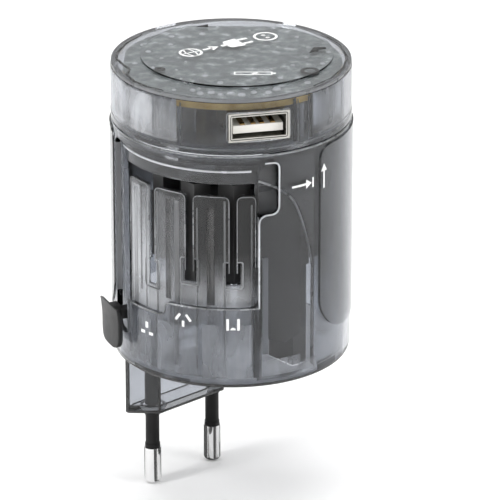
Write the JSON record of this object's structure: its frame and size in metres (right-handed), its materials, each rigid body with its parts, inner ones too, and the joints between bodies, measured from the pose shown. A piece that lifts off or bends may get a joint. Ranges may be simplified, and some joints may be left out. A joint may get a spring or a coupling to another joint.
{
  "type": "universal travel adapter",
  "caption": "Clear round travel plug adapter with lever-driven push-out plugs, a two-pin plug extended below and a turn-and-lift USB charger cap.",
  "frame": {"origin": "on the axis of the round body, on the underside of its base plate, which faces the wall socket", "axes": "+Z along the body's axis from the plug pins to the charger cap, -Y towards the lever lanes, +X to the right seen from the lanes"},
  "size_m": [0.0589, 0.0566, 0.1073],
  "materials": {
    "smoky_clear": "clear, smoky grey",
    "grip_clear": "clear, smoky grey",
    "casing_clear": "clear, smoky grey",
    "base_grey": "clear, smoky grey",
    "dark_plastic": "satin",
    "pin_sleeve": "satin",
    "plated_pin": "polished",
    "brass_pin": "satin",
    "contact_metal": "satin",
    "plated_steel": "plated",
    "fuse_tube": "clear",
    "usb_white": "satin",
    "usb_contacts": "plated",
    "board": "satin",
    "ferrite": "matte",
    "winding": "taped",
    "can": "sleeved",
    "chip_black": "matte"
  },
  "bodies": {
    "housing": {"outer_shell": "smoky_clear", "grip_pads": "grip_clear", "guide_panel": "smoky_clear", "inner_liner": "smoky_clear", "contact_shield": "dark_plastic", "base_plate": "base_grey", "socket_plate": "dark_plastic", "live_neutral_contacts": "contact_metal", "earth_contact": "contact_metal", "fuse_glass": "fuse_tube", "fuse_end_caps": "plated_steel", "fuse_clips": "contact_metal", "screw_posts": "smoky_clear", "base_screws": "plated_steel"},
    "two_pin_plug": {"eu_casing": "casing_clear", "eu_pins": "plated_pin", "eu_sleeves": "pin_sleeve", "eu_carrier": "dark_plastic"},
    "lever": {"selector_lever": "dark_plastic"},
    "three_pin_plug": {"uk_carrier": "dark_plastic", "uk_line_pins": "brass_pin", "uk_earth_pin": "dark_plastic"},
    "slanted_blade_plug": {"au_carrier": "dark_plastic", "au_blades": "brass_pin"},
    "flat_blade_plug": {"us_carrier": "dark_plastic", "us_blades": "brass_pin"},
    "lock_ring": {"lock_ring": "smoky_clear"},
    "charger_cap": {"cap_floor": "smoky_clear", "cap_wall": "smoky_clear", "cap_lid": "smoky_clear", "cap_partitions": "smoky_clear", "circuit_board": "board", "usb_shell": "plated_steel", "usb_tongue": "usb_white", "usb_strips": "usb_contacts", "transformer_core": "ferrite", "transformer_coils": "winding", "capacitors": "can", "chips": "chip_black", "solder_joints": "plated_steel", "cap_pins": "brass_pin", "cap_posts": "smoky_clear", "cap_screws": "plated_steel"}
  },
  "joints": [
    {"name": "two_pin_slide", "type": "slide", "parent": "housing", "child": "two_pin_plug", "axis": [0, 0, 1], "range_m": [0, 0.0365]},
    {"name": "lever_press", "type": "slide", "parent": "two_pin_plug", "child": "lever", "axis": [0.9063, 0.4226, 0], "range_m": [0, 0.0015], "stiffness_N_per_m": 300, "springref_m": -0.001},
    {"name": "three_pin_slide", "type": "slide", "parent": "housing", "child": "three_pin_plug", "axis": [0, 0, -1], "range_m": [0, 0.0244]},
    {"name": "slanted_blade_slide", "type": "slide", "parent": "housing", "child": "slanted_blade_plug", "axis": [0, 0, -1], "range_m": [0, 0.0219]},
    {"name": "flat_blade_slide", "type": "slide", "parent": "housing", "child": "flat_blade_plug", "axis": [0, 0, -1], "range_m": [0, 0.0222]},
    {"name": "cap_turn", "type": "hinge", "parent": "housing", "child": "lock_ring", "pos_m": [0, 0, 0.0569], "axis": [0, 0, 1], "range_deg": [0, 12]},
    {"name": "cap_lift", "type": "slide", "parent": "lock_ring", "child": "charger_cap", "axis": [0, 0, 1], "range_m": [0, 0.02]}
  ]
}
